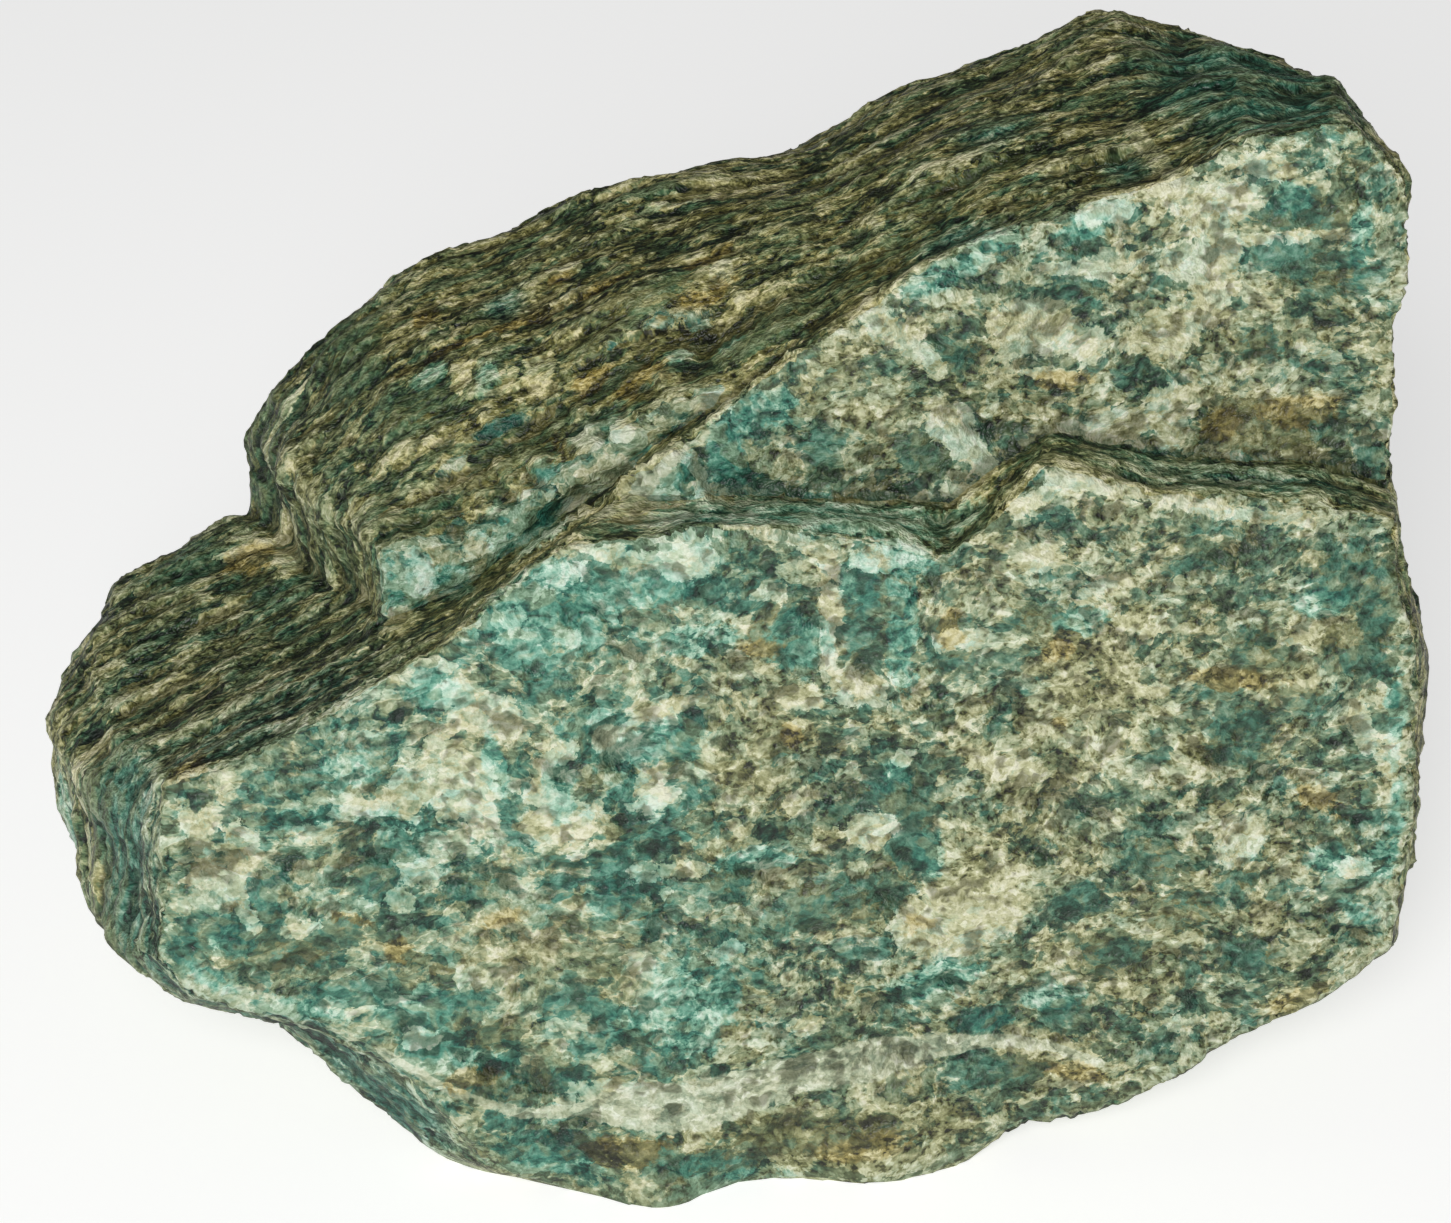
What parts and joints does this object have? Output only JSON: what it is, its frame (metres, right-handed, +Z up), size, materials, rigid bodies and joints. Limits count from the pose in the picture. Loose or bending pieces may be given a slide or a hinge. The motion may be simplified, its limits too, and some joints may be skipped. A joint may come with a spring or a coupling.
{
  "type": "rough amazonite specimen",
  "caption": "Rough foliated blue-green amazonite hand specimen with a broad cleavage face, stepped broken edges and a small flat resting spot.",
  "frame": {"origin": "middle of the bounding box at the height of the flat spot, so the stone stands on z = 0", "axes": "+Z up; the big front cleavage face looks towards -Y, turned 7 degrees to +X and leaning back 17 degrees; +X to the right as seen from the front, the longest extent"},
  "size_m": [0.1298, 0.086, 0.09],
  "materials": {
    "amazonite": "rough broken blue-green feldspar with cream and buff veins, satin on the cleavage face and matt on the broken edges"
  },
  "bodies": {
    "root": {"amazonite_stone": "amazonite"}
  },
  "joints": []
}
